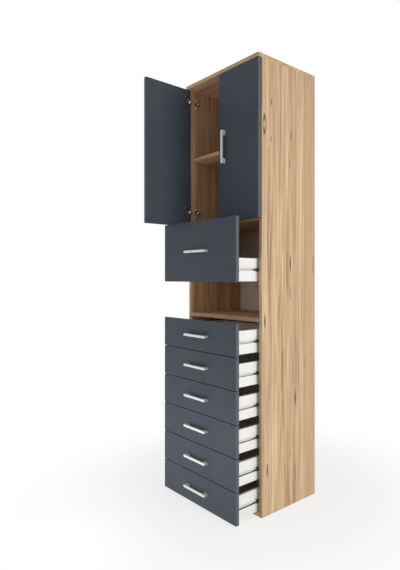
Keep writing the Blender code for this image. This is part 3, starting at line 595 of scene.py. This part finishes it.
class CupboardLook(bpy.types.PropertyGroup):
    """Colours and pattern sizes of the finishes."""
    oak_pale: colour_property("Oak pale", "Lightest streaks of the oak decor", "#E3C7A2")
    oak_tan: colour_property("Oak tan", "Main tone of the oak decor", "#CDAE86")
    oak_rosy: colour_property("Oak rosy", "Rosy streaks of the oak decor", "#BD987A")
    oak_brown: colour_property("Oak brown", "Darkest streaks of the oak decor", "#916C4E")
    oak_knot: colour_property("Oak knot", "Hearts of the knots and cracks", "#4A3222")
    # Painted shade of the faces inside the cupboard, darker and redder than the outer ones.
    oak_inner_shade: colour_property("Oak inside", "What the inner faces multiply the decor by", "#FFF3EE")
    front_tint: colour_property("Front", "Doors and drawer fronts", "#444B55")
    front_cloud: colour_property("Front cloud", "The faint second tone of the fronts", "#414852")
    # Paler than the fronts as painted light, for the lamps that light the edges.
    lit_edge_band: colour_property("Edge band", "Plastic edges of the doors and drawer fronts", "#5A5F66")
    drawer_white: colour_property("Drawer white", "Walls of the drawer boxes", "#F6F5F3")
    drawer_white_cloud: colour_property("Drawer second white", "Faint second tone of the walls", "#F3F2EF")
    back_tint: colour_property("Back", "The hardboard back and the drawer bottoms", "#F4EDE1")
    back_cloud: colour_property("Back cloud", "The faint second tone of the hardboard", "#EEE6D8")
    nickel: colour_property("Satin nickel", "Handles", "#EBE9E4")
    nickel_dark: colour_property("Satin nickel lines", "Hair lines on the handles", "#DAD7D1")
    plated: colour_property("Plated steel", "Hinge arms and screws", "#ECECEA")
    plated_dark: colour_property("Plated steel shade", "Duller patches of the plating", "#DADAD8")
    # A dark tone as painted shade, for the shaded hinge cups and the shadow line under the rails' lips.
    dark_plated: colour_property("Dark plated steel", "Hinge cups and the tracks of the rails", "#5A5B5D")
    painted_shade_blot: colour_property("Dark plated steel shade", "Duller patches of the cups", "#4B4C4E")
    bronzed: colour_property("Bronzed steel", "Shelf pins", "#9A7B5E")
    bronzed_shade: colour_property("Bronzed steel shade", "Duller patches of the pins", "#7F654C")
    runner_tint: colour_property("Runner", "The coat of the ball runners", "#F1F0ED")
    cage_tint: colour_property("Cage", "Plastic of the ball cages", "#26272A")
    cage_cloud: colour_property("Cage cloud", "The faint second tone of the cages", "#2C2D30")
    strip_width: length_property("Strip", "Mean width of the glued strips that the decor imitates", 0.044)
    strip_wander: length_property("Strip wander", "How far the strips stray from a straight line", 0.003)
    broad_width: length_property("Broad streak", "Width of the decor's broad streaks", 0.026)
    streak_width: length_property("Streak", "Width of the decor's middle streaks", 0.009)
    streak_length: length_property("Streak length", "Length of the decor's streaks", 0.95)
    fibre_width: length_property("Fibre", "Width of the fibres, drawn as coarse as they need to show", 0.0028)
    fibre_length: length_property("Fibre length", "Length of the fibres", 0.16)
    pore_size: length_property("Pore", "Grit of the pressed melamine texture", 0.0009)
    hair_width: length_property("Hair line", "Width of the brush's hair lines on the handles", 0.0005)
    hair_length: length_property("Hair line length", "Length of the brush's hair lines", 0.03)
    plating_blot: length_property("Plating blot", "Duller patches of the plated steel", 0.004)
    orange_peel: length_property("Orange peel", "Waves of the runners' coat", 0.0022)


class CupboardHandleSizes(bpy.types.PropertyGroup):
    """Sizes of the bow handles."""
    length: length_property("Length", "End to end", 0.140)
    foot_length: length_property("Foot length", "Each foot along the bar", 0.020)
    projection: length_property("Projection", "From the front to the bar's face", 0.0197)
    bar_depth: length_property("Bar depth", "Thickness of the bar", 0.0065)
    bar_height: length_property("Bar height", "Height of the bar", 0.010)
    outer_radius: length_property("Outer radius", "Rounding of the bar's two ends", 0.002)
    inner_radius: length_property("Inner radius", "Fillet between bar and foot", 0.006)
    edge_round: length_property("Edge round", "Softened long edges", 0.0011)


class CupboardFittingSizes(bpy.types.PropertyGroup):
    """Sizes of the drawer boxes, runners and hinge screws."""
    runner_space: length_property("Runner space", "Between a drawer box and the side panel", 0.0125)
    wall: length_property("Drawer wall", "Thickness of the drawer walls", 0.012)
    wall_round: length_property("Drawer wall round", "Rounding of the wrapped edges", 0.0009)
    base_rise: length_property("Drawer base rise", "From the walls' lower edge to the base", 0.010)
    base_thickness: length_property("Drawer base", "Thickness of the base", 0.003)
    steel: length_property("Runner steel", "Thickness of the runner's strip", 0.0012)
    rail_height: length_property("Rail height", "Drawer half of the runner", 0.010)
    rail_reach: length_property("Rail reach", "How far the rail stands off the drawer wall", 0.010)
    cage_length: length_property("Cage length", "The part of the ball cage that is drawn", 0.070)
    cage_overhang: length_property("Cage overhang", "How far the cage stands out of the cupboard", 0.024)
    cage_taper: length_property("Cage taper", "The part of the cage that narrows to its tip", 0.016)
    cage_tip: length_property("Cage tip", "Half the height of the cage at its tip", 0.0016)
    ball_radius: length_property("Ball radius", "Balls of the runner", 0.0016)
    ball_pitch: length_property("Ball pitch", "Between two balls of a row", 0.0075)
    lip: length_property("Runner lip", "Inturned lip of the cupboard half", 0.0025)
    screw_radius: length_property("Screw head", "Radius of the fixing screws' heads", 0.0033)
    screw_height: length_property("Screw height", "Height of the fixing screws' heads", 0.0012)


class CupboardStage(bpy.types.PropertyGroup):
    """Camera, lamps and floor."""
    camera_place: bpy.props.FloatVectorProperty(
        name="Camera place", description="Where the camera stands", default=(1.5957, -1.5129, 0.9585),
        unit="LENGTH", subtype="TRANSLATION")
    camera_heading: bpy.props.FloatProperty(
        name="Camera heading", description="Turn of the level camera about Z", default=radians(47.63),
        unit="ROTATION", subtype="ANGLE")
    focal_pixels: bpy.props.FloatProperty(
        name="Focal length", description="In pixels of the photograph", default=480.33)
    axis_pixels: bpy.props.FloatVectorProperty(
        name="Optical axis", description="Where the camera's axis meets the photograph, in its pixels",
        default=(240.81, 277.18), size=2)
    photo_pixels: bpy.props.IntVectorProperty(
        name="Photograph", description="Width and height of the photograph", default=(400, 570), size=2)
    world_level: bpy.props.FloatProperty(
        name="World level", description="Even light from all round", default=0.42)
    key_power: bpy.props.FloatProperty(
        name="Key lamp", description="Soft box high on the right", default=39.8, unit="POWER")
    side_power: bpy.props.FloatProperty(
        name="Side lamp", description="Low soft box on the right", default=12.5, unit="POWER")
    low_power: bpy.props.FloatProperty(
        name="Low lamp", description="Small soft box by the floor in front", default=3.7, unit="POWER")
    front_power: bpy.props.FloatProperty(
        name="Front lamp", description="Soft box in front", default=1.7, unit="POWER")
    floor_tint: colour_property("Floor", "The pale floor", "#F2F1EF")


# Operators, one for each piece or group of like pieces

def paint(node, finish_name):
    """Give a node of the frame its finish."""
    target = frame["nodes"][node]
    if not target.material_slots:
        raise RuntimeError(f"{node} has no material slot")
    target.material_slots[0].material = finish(finish_name)


class CUPBOARD_OT_carcass(bpy.types.Operator):
    """Finish the side panels, top, bottom and shelves in oak decor, with the grain along each board"""
    bl_idname = "cupboard.carcass"
    bl_label = "Carcass boards"

    def execute(self, context):
        for side in SIDES:
            paint(f"side_panel_{side}", "oak_decor_upright")
        for board_name in ("top_panel", "bottom_panel", "divider_panel", "niche_shelf", "adjustable_shelf"):
            paint(board_name, "oak_decor_level")
        return {"FINISHED"}


class CUPBOARD_OT_back(bpy.types.Operator):
    """Finish the thin back panel"""
    bl_idname = "cupboard.back"
    bl_label = "Back panel"

    def execute(self, context):
        paint("back_panel", "lacquered_hardboard")
        return {"FINISHED"}


class CUPBOARD_OT_fronts(bpy.types.Operator):
    """Finish the two doors and the seven drawer fronts"""
    bl_idname = "cupboard.fronts"
    bl_label = "Doors and drawer fronts"

    def execute(self, context):
        for side in SIDES:
            faces = "x" if DOOR_TURN[side] else "y"
            paint(f"door_{side}", f"anthracite_melamine_{faces}")
        for word in DRAWERS:
            paint(f"drawer_{word}_front", "anthracite_melamine_y")
        return {"FINISHED"}


class CUPBOARD_OT_handles(bpy.types.Operator):
    """Make the nine bow handles of satin nickel"""
    bl_idname = "cupboard.handles"
    bl_label = "Handles"

    def execute(self, context):
        sizes = context.scene.cupboard_handle
        places = [(f"drawer_{word}_handle", f"drawer_{word}", Matrix.Identity(4)) for word in DRAWERS]
        stand = Matrix.Rotation(pi / 2, 4, "Y")
        for side, turn in DOOR_TURN.items():
            places.append((f"door_handle_{side}", f"door_{side}", Matrix.Rotation(turn, 4, "Z") @ stand))
        for node, body, turned in places:
            low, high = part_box(node)
            bm = bmesh.new()
            join_in(bm, bow_handle(sizes), Matrix.Translation((low + high) / 2) @ turned)
            direction = "level" if node.startswith("drawer") else "upright"
            piece_from(bm, f"{node}_bow", [f"satin_nickel_{direction}"], body, (node,))
        return {"FINISHED"}


class CUPBOARD_OT_drawers(bpy.types.Operator):
    """Make the walls, base, rails and ball cages of the seven drawer boxes"""
    bl_idname = "cupboard.drawers"
    bl_label = "Drawer boxes"

    def execute(self, context):
        sizes = context.scene.cupboard_fittings
        for word in DRAWERS:
            self.box(word, sizes)
            self.rails(word, sizes)
            self.cages(word, sizes)
        return {"FINISHED"}

    def box(self, word, sizes):
        low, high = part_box(f"drawer_{word}_box")
        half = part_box("side_panel_right")[0].x - sizes.runner_space
        inner = half - sizes.wall
        bm = bmesh.new()
        for sign in SIDES.values():
            near, far = sorted((sign * inner, sign * half))
            join_in(bm, board((near, low.y, low.z), (far, high.y, high.z), sizes.wall_round))
        join_in(bm, board((-inner, high.y - sizes.wall, low.z), (inner, high.y, high.z), sizes.wall_round))
        base_z = low.z + sizes.base_rise
        base = board((-inner, low.y, base_z), (inner, high.y - sizes.wall, base_z + sizes.base_thickness),
                     sizes.base_thickness / 8, steps=1)
        join_in(bm, base, material_index=1)
        piece_from(bm, f"drawer_{word}_walls", ["white_melamine", "lacquered_hardboard"], f"drawer_{word}",
                   (f"drawer_{word}_box",))

    def rails(self, word, sizes):
        low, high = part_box(f"drawer_{word}_box")
        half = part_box("side_panel_right")[0].x - sizes.runner_space
        middle = (low.z + high.z) / 2
        rise = sizes.rail_height / 2
        bm = bmesh.new()
        for sign in SIDES.values():
            root, tip = sign * half, sign * (half + sizes.rail_reach)
            corners = [(tip, middle + rise), (root, middle + rise),
                       (root, middle - rise), (tip, middle - rise)]
            join_in(bm, folded_strip(corners, low.y, high.y, sizes.steel))
        bm.normal_update()
        # The faces inside the lips take the dark finish as painted shade: the thin dark line of the shadow
        # under the rail's lip.
        for face in bm.faces:
            away = abs(face.calc_center_median().z - middle)
            if abs(face.normal.z) > LEVEL_FROM and away < rise - sizes.steel / 2:
                face.material_index = 1
        for sign in SIDES.values():
            turn = Matrix.Rotation(sign * pi / 2, 4, "Y")
            for share in RAIL_SCREW_SHARES:
                seat = (sign * (half + sizes.steel), low.y + share * (high.y - low.y), middle)
                join_in(bm, screw_head(sizes.screw_radius, sizes.screw_height),
                        Matrix.Translation(seat) @ turn)
        piece_from(bm, f"drawer_{word}_rails", ["coated_steel", "dark_plated_steel"], f"drawer_{word}")

    def cages(self, word, sizes):
        low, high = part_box(f"drawer_{word}_box")
        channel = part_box(f"runner_{word}_right")
        middle = (low.z + high.z) / 2
        reach = (channel[1].z - channel[0].z) / 2 - sizes.steel - CAGE_GAP
        near = channel[0].x + sizes.steel + CAGE_GAP
        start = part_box("side_panel_right")[0].y - sizes.cage_overhang
        end, full = start + sizes.cage_length, start + sizes.cage_taper
        outline = [(start, middle - sizes.cage_tip), (full, middle - reach), (end, middle - reach),
                   (end, middle + reach), (full, middle + reach), (start, middle + sizes.cage_tip)]
        bm = bmesh.new()
        for sign in SIDES.values():
            x0, x1 = sorted((sign * near, sign * high.x))
            join_in(bm, slab(outline, x0, x1, sizes.cage_tip / 2))
            for step in range(int(sizes.cage_taper / sizes.ball_pitch) + 1,
                              int(sizes.cage_length / sizes.ball_pitch)):
                for rise in (-1, 1):
                    ball = bmesh.new()
                    bmesh.ops.create_icosphere(ball, subdivisions=2, radius=sizes.ball_radius)
                    place = ((x0 + x1) / 2, start + (step + BALL_START_SHARE) * sizes.ball_pitch,
                             middle + rise * (reach - sizes.ball_radius + BALL_STANDOUT))
                    join_in(bm, ball, Matrix.Translation(place), material_index=1)
        piece_from(bm, f"drawer_{word}_cages", ["black_acetal", "nickel_plated_steel"], f"drawer_{word}")


class CUPBOARD_OT_runners(bpy.types.Operator):
    """Make the folded channels of the ball runners on the side panels"""
    bl_idname = "cupboard.runners"
    bl_label = "Runners"

    def execute(self, context):
        sizes = context.scene.cupboard_fittings
        for word in DRAWERS:
            for side, sign in SIDES.items():
                node = f"runner_{word}_{side}"
                low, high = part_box(node)
                back, mouth = (low.x, high.x) if sign < 0 else (high.x, low.x)
                corners = [(mouth, high.z - sizes.lip), (mouth, high.z), (back, high.z),
                           (back, low.z), (mouth, low.z), (mouth, low.z + sizes.lip)]
                bm = bmesh.new()
                join_in(bm, folded_strip(corners, low.y, high.y, sizes.steel))
                piece_from(bm, f"{node}_channel", ["coated_steel"], "cupboard", (node,))
        return {"FINISHED"}


class CUPBOARD_OT_hinges(bpy.types.Operator):
    """Plate the four hinges and add the screws of their cups and arms"""
    bl_idname = "cupboard.hinges"
    bl_label = "Hinges"

    def execute(self, context):
        sizes = context.scene.cupboard_fittings
        plate_radius = sizes.screw_radius * PLATE_SCREW_SHARE
        for side, sign in SIDES.items():
            pivot = Vector(JOINTS[f"door_{side}_hinge"]["pos_m"])
            for level in LEVELS:
                cup, arm = f"hinge_cup_{side}_{level}", f"hinge_arm_{side}_{level}"
                low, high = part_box(cup)
                place = Matrix.Translation((pivot.x, pivot.y, (low.z + high.z) / 2))
                flip = Matrix.Scale(-sign, 4, (1, 0, 0))
                closed, opened = place @ flip, place @ Matrix.Rotation(DOOR_TURN[side], 4, "Z") @ flip
                # The cups and their ear screws are painted dark as shade, for the dark cupboard that they
                # reflect.
                smooth_copy(cup, f"{cup}_plated", "dark_plated_steel", f"door_{side}",
                            [(screw_head(sizes.screw_radius, sizes.screw_height), opened @ spot)
                             for spot in self.ear_screws()])
                smooth_copy(arm, f"{arm}_plated", "nickel_plated_steel", "cupboard",
                            [(screw_head(plate_radius, sizes.screw_height), closed @ spot)
                             for spot in self.plate_screws()])
        return {"FINISHED"}

    def ear_screws(self):
        """Places of the two screws in the ears of a cup, from the pivot."""
        lay = Matrix.Rotation(-pi / 2, 4, "X")
        inwards, out, rise = EAR_SCREW
        return [Matrix.Translation((inwards, out, sign * rise)) @ lay for sign in (-1, 1)]

    def plate_screws(self):
        """Places of the plate's two screws and of the arm's one screw, from the pivot."""
        lay = Matrix.Rotation(pi / 2, 4, "Y")
        inwards, back, rise = PLATE_SCREW
        spots = [(inwards, back, -rise), (inwards, back, rise), ARM_SCREW]
        return [Matrix.Translation(spot) @ lay for spot in spots]


class CUPBOARD_OT_pins(bpy.types.Operator):
    """Bronze the four shelf pins, which hardly show against the wood decor"""
    bl_idname = "cupboard.pins"
    bl_label = "Shelf pins"

    def execute(self, context):
        for side in SIDES:
            for place in ("front", "rear"):
                node = f"shelf_pin_{side}_{place}"
                smooth_copy(node, f"{node}_plated", "bronzed_steel", "cupboard")
        return {"FINISHED"}


class CUPBOARD_OT_stage(bpy.types.Operator):
    """Set up the floor, the lamps, the world and the camera"""
    bl_idname = "cupboard.stage"
    bl_label = "Stage"

    def execute(self, context):
        stage = context.scene.cupboard_stage
        self.floor(stage)
        self.world(context.scene, stage)
        for name, (place, size, power, target) in LAMPS.items():
            self.lamp(name, place, size, getattr(stage, power), target)
        self.camera(context.scene, stage)
        context.scene.view_settings.view_transform = "Standard"
        return {"FINISHED"}

    def floor(self, stage):
        bm = bmesh.new()
        bmesh.ops.create_grid(bm, x_segments=1, y_segments=1, size=FLOOR_SIZE)
        mesh = bpy.data.meshes.new("floor")
        bm.to_mesh(mesh)
        bm.free()
        material, tree, shader = new_material("pale_floor", {"Base Color": stage.floor_tint,
                                                             "Roughness": 0.8})
        place = add_node(tree, "TexCoord").outputs["Object"]
        away = add_node(tree, "VectorMath", (place,), operation="LENGTH").outputs["Value"]
        far = add_node(tree, "MapRange", (away, *FLOOR_FADE, FLOOR_WHITE_SHARE, 1.0), **SMOOTH)
        seen = add_node(tree, "Math", (far, seen_directly(tree)), operation="MULTIPLY")
        white = add_node(tree, "Emission", {"Strength": 1.0})
        mixed = add_node(tree, "MixShader", (seen, shader, white))
        output = next(item for item in tree.nodes if item.type == "OUTPUT_MATERIAL")
        tree.links.new(mixed.outputs[0], output.inputs["Surface"])
        mesh.materials.append(material)
        floor = bpy.data.objects.new("floor", mesh)
        bpy.context.scene.collection.objects.link(floor)

    def world(self, scene, stage):
        world = bpy.data.worlds.new("studio")
        world.use_nodes = True
        tree = world.node_tree
        strength = add_node(tree, "Mix", {0: seen_directly(tree), 2: stage.world_level, 3: 1.0})
        background = tree.nodes["Background"]
        background.inputs["Color"].default_value = (1, 1, 1, 1)
        tree.links.new(strength.outputs[0], background.inputs["Strength"])
        scene.world = world

    def lamp(self, name, place, size, power, target):
        data = bpy.data.lights.new(name, "AREA")
        data.shape = "SQUARE"
        data.size = size
        data.energy = power
        lamp = bpy.data.objects.new(name, data)
        lamp.location = place
        aim = Vector(target) - Vector(place)
        lamp.rotation_euler = aim.to_track_quat("-Z", "Y").to_euler()
        bpy.context.scene.collection.objects.link(lamp)

    def camera(self, scene, stage):
        width, height = stage.photo_pixels
        data = bpy.data.cameras.new("camera")
        data.lens = stage.focal_pixels * data.sensor_width / height
        data.shift_x = (width / 2 - stage.axis_pixels[0]) / height
        data.shift_y = (stage.axis_pixels[1] - height / 2) / height
        camera = bpy.data.objects.new("camera", data)
        camera.location = stage.camera_place
        camera.rotation_euler = (pi / 2, 0, stage.camera_heading)
        scene.collection.objects.link(camera)
        scene.camera = camera


def seen_directly(tree):
    """1 for camera, glossy and transmission rays, 0 for the rays that light the object."""
    path = add_node(tree, "LightPath").outputs
    first = add_node(tree, "Math", (path["Is Camera Ray"], path["Is Glossy Ray"]), operation="MAXIMUM")
    return add_node(tree, "Math", (first, path["Is Transmission Ray"]), operation="MAXIMUM")


OPERATORS = (CUPBOARD_OT_stage, CUPBOARD_OT_carcass, CUPBOARD_OT_back, CUPBOARD_OT_fronts,
             CUPBOARD_OT_drawers, CUPBOARD_OT_runners, CUPBOARD_OT_handles, CUPBOARD_OT_hinges,
             CUPBOARD_OT_pins)
SETTINGS = {
    "cupboard_look": CupboardLook,
    "cupboard_handle": CupboardHandleSizes,
    "cupboard_fittings": CupboardFittingSizes,
    "cupboard_stage": CupboardStage,
}


class CUPBOARD_PT_panel(bpy.types.Panel):
    """Lists the operators and their settings"""
    bl_idname = "CUPBOARD_PT_panel"
    bl_label = "Cupboard"
    bl_space_type = "VIEW_3D"
    bl_region_type = "UI"
    bl_category = "Cupboard"

    def draw(self, context):
        for operator in OPERATORS:
            self.layout.operator(operator.bl_idname)
        for name, group in SETTINGS.items():
            box = self.layout.box()
            box.label(text=group.__doc__)
            for key in group.__annotations__:
                box.prop(getattr(context.scene, name), key)


def register():
    for cls in (*SETTINGS.values(), *OPERATORS, CUPBOARD_PT_panel):
        bpy.utils.register_class(cls)
    for name, group in SETTINGS.items():
        setattr(bpy.types.Scene, name, bpy.props.PointerProperty(type=group))


def unregister():
    for name in SETTINGS:
        delattr(bpy.types.Scene, name)
    for cls in reversed((*SETTINGS.values(), *OPERATORS, CUPBOARD_PT_panel)):
        bpy.utils.unregister_class(cls)


def main():
    register()
    for operator in OPERATORS:
        group, name = operator.bl_idname.split(".")
        getattr(getattr(bpy.ops, group), name)()


if __name__ == "__main__":
    main()
